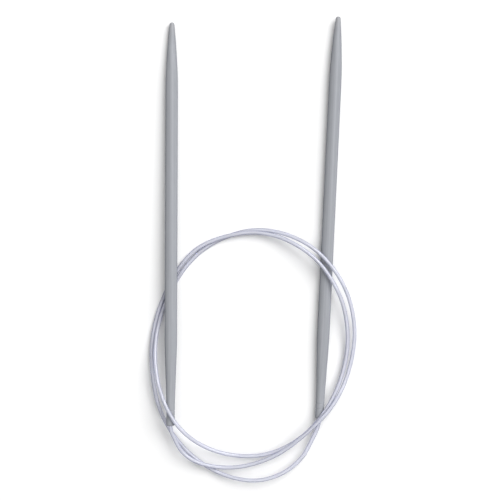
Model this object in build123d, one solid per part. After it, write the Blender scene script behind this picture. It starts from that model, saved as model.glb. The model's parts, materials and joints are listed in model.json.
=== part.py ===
from build123d import *
import math
import os

# Circular knitting needle: two pointed aluminium needles joined end to end by one nylon cord,
# which lies in two loose turns on a table. Millimetres, +Z up, the points towards +Y.
# The origin is on the table, below the middle of the two needles' box.

# The needle, a round bar that is pointed in front and tapers to a neck where the cord goes in.
NEEDLE_D = 4.0
NEEDLE_LENGTH = 130.0
POINT_LENGTH = 22.5
POINT_MIDDLE_D = 3.1
POINT_END_D = 1.6
POINT_CAP = 0.7
NECK_D = 2.7
NECK_LENGTH = 6.8
REAR_TAPER_END = 26.0
NECK_ROUNDING = 1.1
CRIMP_RINGS = (3.2, 4.8)
CRIMP_WIDTH = 0.6
CRIMP_DEPTH = 0.08

# The cord, its ends and the sleeve that is crimped on each end and glued into the neck's bore.
CORD_D = 1.2
SLEEVE_D = 1.9
SLEEVE_LENGTH = 7.0
SLEEVE_DEPTH = 1.0
BORE_DEPTH = 9.0
DRILL_POINT = 0.55
HELD_FROM = 0.15
HELD_TO = 8.6

# Where each needle's rear end lies, how far it leans to +X and how far its point drops, in degrees.
# The right needle lies flat. The left one lies with its rear part on the cord.
LEFT_EXIT = Vector(-26.6, -65.9, 5.35)
LEFT_LEAN = 0.1
LEFT_DROP = 1.75
RIGHT_EXIT = Vector(21.3, -64.0, NEEDLE_D / 2)
RIGHT_LEAN = 2.7
RIGHT_DROP = 0.0

# The cord's heights. Each hump clears what it passes over by at least 3 mm.
TABLE = CORD_D / 2
OVER_CORD = 3.0
OVER_NEEDLE = 7.6
OVER_LEFT_NECK = 10.0
OVER_RIGHT_NECK = 7.0
OVER_BOTH = 8.8

# The cord's route between the needles: angle round the loops' middle, counted from +X and on
# through both turns, distance from that middle, and height.
LOOP_MIDDLE = Vector(0.1, -43.7, 0)
EXIT_RUN = 3.2
TURNS = [
    # the first half turn, from the left needle over the cord's other end, and over the right neck
    (231, 38.6, 4.9),
    (238.5, 38.7, 3.8),
    (247.5, 38.6, OVER_CORD),
    (262, 36.6, 2.4),
    (281, 33.5, 3.4),
    (302, 31.4, OVER_BOTH),
    (328, 30.6, OVER_BOTH),
    # up the right side, over the right needle
    (352, 31.6, 2.0),
    (376, 34.5, 1.6),
    (400, 38.2, OVER_NEEDLE),
    (424, 41.3, OVER_NEEDLE),
    # round the top, under the left needle and over its neck
    (448, 41.9, 1.6),
    (470, 39.3, TABLE),
    (488, 36.7, TABLE),
    (512, 33.5, TABLE),
    (536, 32.2, 2.2),
    (561, 32.5, OVER_LEFT_NECK),
    (585, 33.8, OVER_LEFT_NECK),
    (609, 33.8, 2.6),
    # along the bottom, over the right neck and up inside the first turn
    (636, 32.9, 1.2),
    (662, 31.5, OVER_RIGHT_NECK),
    (688, 29.6, OVER_RIGHT_NECK),
    (712, 29.8, 1.4),
    (734, 31.7, 1.2),
    (756.5, 35.1, OVER_NEEDLE),
    (780.5, 38.8, OVER_NEEDLE),
    # over the first turn at the top, then outside it and under the left needle
    (806, 41.1, OVER_CORD),
    (832, 40.3, OVER_CORD),
    (848, 38.2, TABLE),
    (869, 35.0, TABLE),
    (890, 33.6, TABLE),
    (911, 33.6, TABLE),
    (932, 35.6, TABLE),
    (953, 37.8, TABLE),
    # round the bottom and back to the right needle
    (972, 40.0, TABLE),
    (989, 40.8, TABLE),
    (1002.5, 39.5, TABLE),
    (1014.5, 36.9, 0.9),
    (1024.5, 33.9, 1.5),
]
ARC_SHARE = 0.45


def heading(lean, drop):
    """The direction from a needle's rear end to its point."""
    level = math.cos(math.radians(drop))
    return Vector(
        level * math.sin(math.radians(lean)),
        level * math.cos(math.radians(lean)),
        -math.sin(math.radians(drop)),
    )


def laid(shape, exit_point, direction):
    """A shape made along +Z from the needle's rear end, put where the needle lies."""
    return Plane(origin=exit_point, z_dir=direction).location * shape


def crimp_ring(middle):
    """One shallow ring pressed into the neck."""
    radius = NECK_D / 2
    return ThreePointArc(
        (radius, middle - CRIMP_WIDTH / 2),
        (radius - CRIMP_DEPTH, middle),
        (radius, middle + CRIMP_WIDTH / 2),
    )


def needle_outline():
    """Half of the needle's lengthwise section, with the axis along Y and the rear end at 0."""
    neck = NECK_D / 2
    body = NEEDLE_D / 2
    mouth = SLEEVE_D / 2
    cap = (POINT_END_D / 2, NEEDLE_LENGTH - POINT_CAP)
    cap_slope = (-0.1, 1)
    edges = [
        Line((0, 0), (mouth, 0)),
        Spline((mouth, 0), (neck, NECK_ROUNDING), tangents=[(1, 0), (0, 1)]),
    ]
    reached = NECK_ROUNDING
    for middle in CRIMP_RINGS:
        edges.append(Line((neck, reached), (neck, middle - CRIMP_WIDTH / 2)))
        edges.append(crimp_ring(middle))
        reached = middle + CRIMP_WIDTH / 2
    edges += [
        Line((neck, reached), (neck, NECK_LENGTH)),
        Line((neck, NECK_LENGTH), (body, REAR_TAPER_END)),
        Line((body, REAR_TAPER_END), (body, NEEDLE_LENGTH - POINT_LENGTH)),
        Spline(
            (body, NEEDLE_LENGTH - POINT_LENGTH),
            (POINT_MIDDLE_D / 2, NEEDLE_LENGTH - 0.45 * POINT_LENGTH),
            cap,
            tangents=[(0, 1), cap_slope],
        ),
        Spline(cap, (0, NEEDLE_LENGTH), tangents=[cap_slope, (-1, 0)]),
        Line((0, NEEDLE_LENGTH), (0, 0)),
    ]
    return make_face(edges)


def needle():
    """The solid bar with its blind bore, which ends in a drill point."""
    bar = revolve(Plane.XZ * needle_outline(), Axis.Z)
    radius = SLEEVE_D / 2
    bore = Pos(0, 0, BORE_DEPTH / 2) * Cylinder(radius, BORE_DEPTH)
    drill_point = Pos(0, 0, BORE_DEPTH + DRILL_POINT / 2) * Cone(radius, 0, DRILL_POINT)
    return bar - (bore + drill_point)


def crimp_sleeve():
    """The tube that holds the cord's end in the bore, with eased ends."""
    tube = Cylinder(SLEEVE_D / 2, SLEEVE_LENGTH) - Cylinder(CORD_D / 2, SLEEVE_LENGTH)
    ends = tube.edges().filter_by(GeomType.CIRCLE)
    outer = ends.filter_by(lambda edge: edge.radius > CORD_D / 2 + 0.1)
    return Pos(0, 0, SLEEVE_DEPTH + SLEEVE_LENGTH / 2) * chamfer(outer, 0.12)


def held_cord_end():
    """The stretch of cord inside the neck, which is fixed to the needle."""
    length = HELD_TO - HELD_FROM
    return Pos(0, 0, HELD_FROM + length / 2) * Cylinder(CORD_D / 2, length)


def route():
    """The points of the free cord from the left exit to the right one."""
    left = heading(LEFT_LEAN, LEFT_DROP)
    right = heading(RIGHT_LEAN, RIGHT_DROP)
    points = [LEFT_EXIT, LEFT_EXIT - left * EXIT_RUN]
    for angle, distance, height in TURNS:
        turn = math.radians(angle)
        across = Vector(math.cos(turn), math.sin(turn)) * distance
        points.append(LOOP_MIDDLE + across + Vector(0, 0, height))
    points += [RIGHT_EXIT - right * EXIT_RUN, RIGHT_EXIT]
    return points


def arc_radii(points):
    """The largest arc that each corner of the route has room for."""
    radii = []
    for before, corner, after in zip(points, points[1:], points[2:]):
        arriving = corner - before
        leaving = after - corner
        room = ARC_SHARE * min(arriving.length, leaving.length)
        half_turn = math.radians(arriving.get_angle(leaving)) / 2
        radii.append(room / math.tan(half_turn))
    return radii


def free_cord():
    """The cord between the needles: straight runs joined by tangent arcs."""
    points = route()
    radii = arc_radii(points)
    path = FilletPolyline(*points, radius=radii)
    section = Plane(origin=path @ 0, z_dir=path % 0) * Circle(CORD_D / 2)
    cord = sweep(section, path=path)
    expected = math.pi * CORD_D**2 / 4 * path.length
    print("arc radii, mm:", " ".join(f"{radius:.1f}" for radius in radii))
    print(f"cord length {path.length:.1f} mm")
    print(f"cord volume {cord.volume:.2f} mm3, section times length {expected:.2f} mm3")
    return cord


def build():
    """Every node by name."""
    left = (LEFT_EXIT, heading(LEFT_LEAN, LEFT_DROP))
    right = (RIGHT_EXIT, heading(RIGHT_LEAN, RIGHT_DROP))
    nodes = {"cord": free_cord()}
    for side, place in (("left", left), ("right", right)):
        nodes[f"{side}_needle"] = laid(needle(), *place)
        nodes[f"{side}_crimp_sleeve"] = laid(crimp_sleeve(), *place)
        nodes[f"{side}_cord_end"] = laid(held_cord_end(), *place)
    return nodes


os.makedirs("parts", exist_ok=True)
for name, shape in build().items():
    shape.label = name
    export_step(shape, f"parts/{name}.step")
    print(name, shape.bounding_box())
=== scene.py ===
import json
import math

import bpy
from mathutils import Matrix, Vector


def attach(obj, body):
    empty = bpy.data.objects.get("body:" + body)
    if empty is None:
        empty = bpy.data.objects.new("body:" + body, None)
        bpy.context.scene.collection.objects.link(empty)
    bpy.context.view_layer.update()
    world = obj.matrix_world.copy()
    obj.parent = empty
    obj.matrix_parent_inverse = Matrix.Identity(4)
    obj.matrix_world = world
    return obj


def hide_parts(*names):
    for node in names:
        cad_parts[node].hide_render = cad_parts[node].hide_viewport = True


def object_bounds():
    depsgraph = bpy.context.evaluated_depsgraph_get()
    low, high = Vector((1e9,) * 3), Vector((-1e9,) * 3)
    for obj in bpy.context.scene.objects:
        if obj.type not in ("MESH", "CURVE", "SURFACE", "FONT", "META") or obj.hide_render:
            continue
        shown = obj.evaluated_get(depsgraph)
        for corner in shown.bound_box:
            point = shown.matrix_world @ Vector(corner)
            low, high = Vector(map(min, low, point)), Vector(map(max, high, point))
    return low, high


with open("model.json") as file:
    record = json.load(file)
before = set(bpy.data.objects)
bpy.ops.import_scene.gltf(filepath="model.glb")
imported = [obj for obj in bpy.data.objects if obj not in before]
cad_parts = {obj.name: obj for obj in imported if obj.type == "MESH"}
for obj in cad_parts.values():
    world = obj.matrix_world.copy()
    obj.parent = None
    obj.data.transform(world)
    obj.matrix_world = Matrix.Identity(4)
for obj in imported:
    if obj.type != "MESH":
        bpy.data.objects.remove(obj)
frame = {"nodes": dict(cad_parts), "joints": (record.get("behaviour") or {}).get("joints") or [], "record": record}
cad_low, cad_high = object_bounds()
nodes = frame["nodes"]
joints = {joint["name"]: joint for joint in frame["joints"]}

# The cord: its size, and its route from the left needle's exit to the right one's. Lengths are
# in metres. A turn's point is an angle round the loops' middle, counted from +X and on through
# both turns, then the distance from that middle and the height. The route is part.py's, laid
# down on what carries it and moved to follow the photograph. The named heights let the
# cord lie on the table or pass over another strand or a needle.
CORD_DIAMETER = 0.0012
LOOP_MIDDLE = Vector((0.0001, -0.0437, 0))
EXIT_RUN = 0.0016
TABLE = 0.0006
OVER_CORD = 0.0019
OVER_NEEDLE = 0.00515
OVER_LEFT_NECK = 0.00725
OVER_RIGHT_NECK = 0.00395
OVER_BOTH = 0.0052
TURNS = [
    # the first half turn, from the left needle over the cord's other end, and over the right neck
    (226.5, 0.0368, 0.0049),
    (231.5, 0.0383, 0.0042),
    (238, 0.0391, 0.0035),
    (247, 0.0387, 0.0028),
    (262, 0.0368, 0.0022),
    (281, 0.0335, 0.0036),
    (302, 0.0303, OVER_BOTH),
    (328, 0.0304, OVER_BOTH),
    # up the right side, over the right needle
    (352, 0.0316, 0.0023),
    (376, 0.0345, 0.0026),
    (400, 0.0379, OVER_NEEDLE),
    (424, 0.0410, OVER_NEEDLE),
    # round the top, under the left needle and over its neck
    (448, 0.0419, 0.0008),
    (470, 0.0393, TABLE),
    (488, 0.0367, TABLE),
    (512, 0.0336, 0.0010),
    (536, 0.0324, 0.0032),
    (561, 0.0325, OVER_LEFT_NECK),
    (585, 0.0338, OVER_LEFT_NECK),
    (609, 0.0340, 0.0024),
    # along the bottom, over the right neck and up inside the first turn
    (636, 0.0332, 0.0018),
    (662, 0.0309, OVER_RIGHT_NECK),
    (688, 0.0293, OVER_RIGHT_NECK),
    (712, 0.0298, 0.0017),
    (734, 0.0317, 0.0024),
    (756.5, 0.0347, OVER_NEEDLE),
    (780.5, 0.0384, OVER_NEEDLE),
    # over the first turn at the top, then outside it and under the left needle
    (806, 0.0411, OVER_CORD),
    (832, 0.0403, OVER_CORD),
    (848, 0.0382, TABLE),
    (869, 0.0350, TABLE),
    (890, 0.0336, 0.0015),
    (911, 0.0336, 0.0021),
    (932, 0.0358, 0.0020),
    (953, 0.0380, 0.0016),
    # round the bottom and back to the right needle
    (972, 0.0400, 0.0015),
    (989, 0.0408, 0.0033),
    (1002.5, 0.0396, 0.0032),
    (1014.5, 0.0369, 0.0026),
    (1022, 0.0340, 0.0022),
    (1029.5, 0.0317, 0.0020),
]


def make_camera():
    """Straight above the object, with the needles' points at the top of the picture."""
    middle = (cad_low + cad_high) / 2
    middle_height = 0.002
    height_share = 0.931
    shift_left = 0.0010
    shift_down = 0.0002
    lens = 100
    sensor_width = 36
    distance = (cad_high.y - cad_low.y) / height_share * (lens / sensor_width)
    data = bpy.data.cameras.new("camera")
    data.lens = lens
    data.sensor_width = sensor_width
    data.clip_start = 0.01
    camera = bpy.data.objects.new("camera", data)
    camera.location = (
        middle.x - shift_left,
        middle.y - shift_down,
        middle_height + distance,
    )
    bpy.context.scene.collection.objects.link(camera)
    bpy.context.scene.camera = camera


def needle_axis(side):
    """The rear end of a needle and the direction to its point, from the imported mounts."""
    exit_point = Vector(joints[f"{side}_swing"]["pos_m"])
    shaft = next(m for m in frame["record"]["mounts"] if m["name"] == f"{side}_shaft")
    return exit_point, Vector(shaft["axis"]).normalized()


def cord_route():
    """The cord's points in the row frame, exit to exit."""
    left_exit, left_axis = needle_axis("left")
    right_exit, right_axis = needle_axis("right")
    points = [left_exit, left_exit - left_axis * EXIT_RUN]
    for angle, distance, height in TURNS:
        turn = math.radians(angle)
        across = Vector((math.cos(turn), math.sin(turn), 0)) * distance
        points.append(LOOP_MIDDLE + across + Vector((0, 0, height)))
    points += [right_exit - right_axis * EXIT_RUN, right_exit]
    return points


def make_cord(material):
    """The cord as one smooth spline with the route's points as its control points."""
    curve = bpy.data.curves.new("nylon_cord", "CURVE")
    curve.dimensions = "3D"
    spline = curve.splines.new("NURBS")
    points = cord_route()
    spline.points.add(len(points) - 1)
    for point, place in zip(spline.points, points):
        point.co = (*place, 1)
    spline.order_u = 3
    spline.use_endpoint_u = True
    spline.use_smooth = True
    curve.resolution_u = 10
    curve.bevel_depth = CORD_DIAMETER / 2
    curve.bevel_resolution = 7
    curve.use_fill_caps = True
    curve.materials.append(material)
    cord = bpy.data.objects.new("nylon_cord", curve)
    bpy.context.scene.collection.objects.link(cord)
    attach(cord, "cord")
    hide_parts("cord")


def new_material(name):
    """An empty node material, its tree and its surface shader."""
    material = bpy.data.materials.new(name)
    material.use_nodes = True
    tree = material.node_tree
    return material, tree, tree.nodes["Principled BSDF"]


def stretched_noise(tree, frame_node, grain, detail):
    """Noise whose grain has this width, length and height, in the given node's frame."""
    stretch = tree.nodes.new("ShaderNodeMapping")
    stretch.vector_type = "TEXTURE"
    stretch.inputs["Scale"].default_value = grain
    tree.links.new(frame_node.outputs["Vector"], stretch.inputs["Vector"])
    noise = tree.nodes.new("ShaderNodeTexNoise")
    noise.inputs["Scale"].default_value = 1
    noise.inputs["Detail"].default_value = detail
    tree.links.new(stretch.outputs["Vector"], noise.inputs["Vector"])
    return noise


def two_colours(tree, noise_output, first, second, start=0, end=1):
    """A colour that goes from the first to the second as the noise goes from start to end."""
    ramp = tree.nodes.new("ShaderNodeValToRGB")
    ramp.color_ramp.elements[0].position = start
    ramp.color_ramp.elements[0].color = (*first, 1)
    ramp.color_ramp.elements[1].position = end
    ramp.color_ramp.elements[1].color = (*second, 1)
    tree.links.new(noise_output, ramp.inputs["Fac"])
    return ramp.outputs["Color"]


def vary_roughness(tree, shader, noise_output, smoothest, roughest):
    """Roughness that follows the noise between two values."""
    roughness = tree.nodes.new("ShaderNodeMapRange")
    roughness.inputs["To Min"].default_value = smoothest
    roughness.inputs["To Max"].default_value = roughest
    tree.links.new(noise_output, roughness.inputs["Value"])
    tree.links.new(roughness.outputs["Result"], shader.inputs["Roughness"])


def coated_metal(name, exit_point, axis):
    """Satin grey coating on drawn aluminium: streaks along the bar, and a faintly paler tip."""
    material, tree, shader = new_material(name)
    shader.inputs["Metallic"].default_value = 0.1
    shader.inputs["Diffuse Roughness"].default_value = 1
    shader.inputs["Specular IOR Level"].default_value = 0.2
    shader.inputs["Coat Weight"].default_value = 1
    shader.inputs["Coat Roughness"].default_value = 0.5
    shader.inputs["Coat IOR"].default_value = 1.03
    shader.inputs["Coat Tint"].default_value = (0.75, 0.76, 0.78, 1)
    turn = Vector((0, 1, 0)).rotation_difference(axis).to_euler()

    # distances in the needle's own frame, with Y from the exit to the point
    coordinates = tree.nodes.new("ShaderNodeTexCoord")
    own_frame = tree.nodes.new("ShaderNodeMapping")
    own_frame.vector_type = "TEXTURE"
    own_frame.inputs["Location"].default_value = exit_point
    own_frame.inputs["Rotation"].default_value = turn
    tree.links.new(coordinates.outputs["Object"], own_frame.inputs["Vector"])

    streaks = stretched_noise(tree, own_frame, (0.0004, 0.12, 0.0004), detail=3)
    mottle = stretched_noise(tree, own_frame, (0.0010, 0.004, 0.0010), detail=3)
    both = tree.nodes.new("ShaderNodeMix")
    both.inputs["Factor"].default_value = 0.2
    tree.links.new(streaks.outputs["Fac"], both.inputs["A"])
    tree.links.new(mottle.outputs["Fac"], both.inputs["B"])
    grain = both.outputs["Result"]
    colour = two_colours(
        tree, grain, (0.448, 0.456, 0.477), (0.516, 0.524, 0.543), start=0.38, end=0.62
    )

    # the last millimetres before the point are rubbed to one even, very slightly paler grey
    parts = tree.nodes.new("ShaderNodeSeparateXYZ")
    tree.links.new(own_frame.outputs["Vector"], parts.inputs["Vector"])
    wear = tree.nodes.new("ShaderNodeMapRange")
    wear.interpolation_type = "SMOOTHSTEP"
    wear.inputs["From Min"].default_value = 0.123
    wear.inputs["From Max"].default_value = 0.131
    tree.links.new(parts.outputs["Y"], wear.inputs["Value"])
    finish = tree.nodes.new("ShaderNodeMix")
    finish.data_type = "RGBA"
    finish.inputs["B"].default_value = (0.52, 0.52, 0.53, 1)
    tree.links.new(wear.outputs["Result"], finish.inputs["Factor"])
    tree.links.new(colour, finish.inputs["A"])
    tree.links.new(finish.outputs["Result"], shader.inputs["Base Color"])

    vary_roughness(tree, shader, grain, 0.42, 0.60)
    bump = tree.nodes.new("ShaderNodeBump")
    bump.inputs["Strength"].default_value = 0.25
    bump.inputs["Distance"].default_value = 0.00002
    tree.links.new(grain, bump.inputs["Height"])
    tree.links.new(bump.outputs["Normal"], shader.inputs["Normal"])
    return material


def clear_nylon():
    """Clear monofilament with a lilac cast and a slightly cloudy, drawn surface."""
    material, tree, shader = new_material("clear_nylon")
    shader.inputs["IOR"].default_value = 1.53
    shader.inputs["Transmission Weight"].default_value = 0.44
    shader.inputs["Specular IOR Level"].default_value = 1
    # with an IOR of 1 the coat reflects nothing and only tints
    shader.inputs["Coat Weight"].default_value = 1
    shader.inputs["Coat IOR"].default_value = 1
    shader.inputs["Coat Tint"].default_value = (0.80, 0.81, 0.88, 1)
    coordinates = tree.nodes.new("ShaderNodeTexCoord")
    cloud = tree.nodes.new("ShaderNodeTexNoise")
    cloud.inputs["Scale"].default_value = 500
    cloud.inputs["Detail"].default_value = 3
    tree.links.new(coordinates.outputs["Object"], cloud.inputs["Vector"])
    cloudiness = cloud.outputs["Fac"]
    colour = two_colours(tree, cloudiness, (0.97, 0.97, 0.985), (1, 1, 1), start=0.35, end=0.65)
    tree.links.new(colour, shader.inputs["Base Color"])
    vary_roughness(tree, shader, cloudiness, 0.06, 0.14)
    return material


def sleeve_brass():
    """Plain brass tube with fine lengthwise scratches."""
    material, tree, shader = new_material("sleeve_brass")
    shader.inputs["Metallic"].default_value = 1
    shader.inputs["Roughness"].default_value = 0.35
    coordinates = tree.nodes.new("ShaderNodeTexCoord")
    along = tree.nodes.new("ShaderNodeMapping")
    along.inputs["Scale"].default_value = (4000, 300, 4000)
    tree.links.new(coordinates.outputs["Object"], along.inputs["Vector"])
    scratches = tree.nodes.new("ShaderNodeTexNoise")
    scratches.inputs["Scale"].default_value = 1
    tree.links.new(along.outputs["Vector"], scratches.inputs["Vector"])
    colour = two_colours(tree, scratches.outputs["Fac"], (0.55, 0.38, 0.14), (0.78, 0.60, 0.30))
    tree.links.new(colour, shader.inputs["Base Color"])
    return material


def paint_node(name, material):
    """A CAD node keeps its shape and takes its finish."""
    node = nodes[name]
    node.data.materials.clear()
    node.data.materials.append(material)
    for polygon in node.data.polygons:
        polygon.use_smooth = True


def make_floor():
    """A plain white table top."""
    half = 3
    mesh = bpy.data.meshes.new("floor")
    corners = [(-half, -half, 0), (half, -half, 0), (half, half, 0), (-half, half, 0)]
    mesh.from_pydata(corners, [], [(0, 1, 2, 3)])
    floor = bpy.data.objects.new("floor", mesh)
    bpy.context.scene.collection.objects.link(floor)
    material, _, shader = new_material("floor_white")
    shader.inputs["Base Color"].default_value = (0.86, 0.86, 0.86, 1)
    shader.inputs["Roughness"].default_value = 0.9
    shader.inputs["Specular IOR Level"].default_value = 0.1
    mesh.materials.append(material)


def make_lamp(name, azimuth, elevation, size, energy):
    """A round softbox aimed at the object. Azimuth is counted from +X towards +Y, in degrees."""
    distance = 2
    across = math.cos(math.radians(elevation))
    towards = Vector(
        (
            across * math.cos(math.radians(azimuth)),
            across * math.sin(math.radians(azimuth)),
            math.sin(math.radians(elevation)),
        )
    )
    data = bpy.data.lights.new(name, "AREA")
    data.shape = "DISK"
    data.size = size
    data.energy = energy
    lamp = bpy.data.objects.new(name, data)
    lamp.location = (cad_low + cad_high) / 2 + towards * distance
    lamp.rotation_euler = towards.to_track_quat("Z", "Y").to_euler()
    bpy.context.scene.collection.objects.link(lamp)


def make_surround():
    """White overhead and dark near the horizon, so that round edges show."""
    world = bpy.data.worlds.new("surround")
    world.use_nodes = True
    tree = world.node_tree
    background = tree.nodes["Background"]
    coordinates = tree.nodes.new("ShaderNodeTexCoord")
    parts = tree.nodes.new("ShaderNodeSeparateXYZ")
    tree.links.new(coordinates.outputs["Generated"], parts.inputs["Vector"])
    height = tree.nodes.new("ShaderNodeMapRange")
    height.interpolation_type = "SMOOTHSTEP"
    height.inputs["From Min"].default_value = 0.5
    height.inputs["From Max"].default_value = 0.95
    height.inputs["To Min"].default_value = 0.1
    height.inputs["To Max"].default_value = 1.3
    tree.links.new(parts.outputs["Z"], height.inputs["Value"])
    tree.links.new(height.outputs["Result"], background.inputs["Strength"])
    background.inputs["Color"].default_value = (1, 1, 1, 1)
    bpy.context.scene.world = world
    bpy.context.scene.view_settings.view_transform = "Standard"


make_camera()
nylon = clear_nylon()
make_cord(nylon)
for side in ("left", "right"):
    coating = coated_metal(f"{side}_grey_coating", *needle_axis(side))
    paint_node(f"{side}_needle", coating)
    paint_node(f"{side}_cord_end", nylon)
brass = sleeve_brass()
for side in ("left", "right"):
    paint_node(f"{side}_crimp_sleeve", brass)
make_floor()
make_lamp("key", azimuth=42, elevation=45, size=1.8, energy=42)
make_surround()
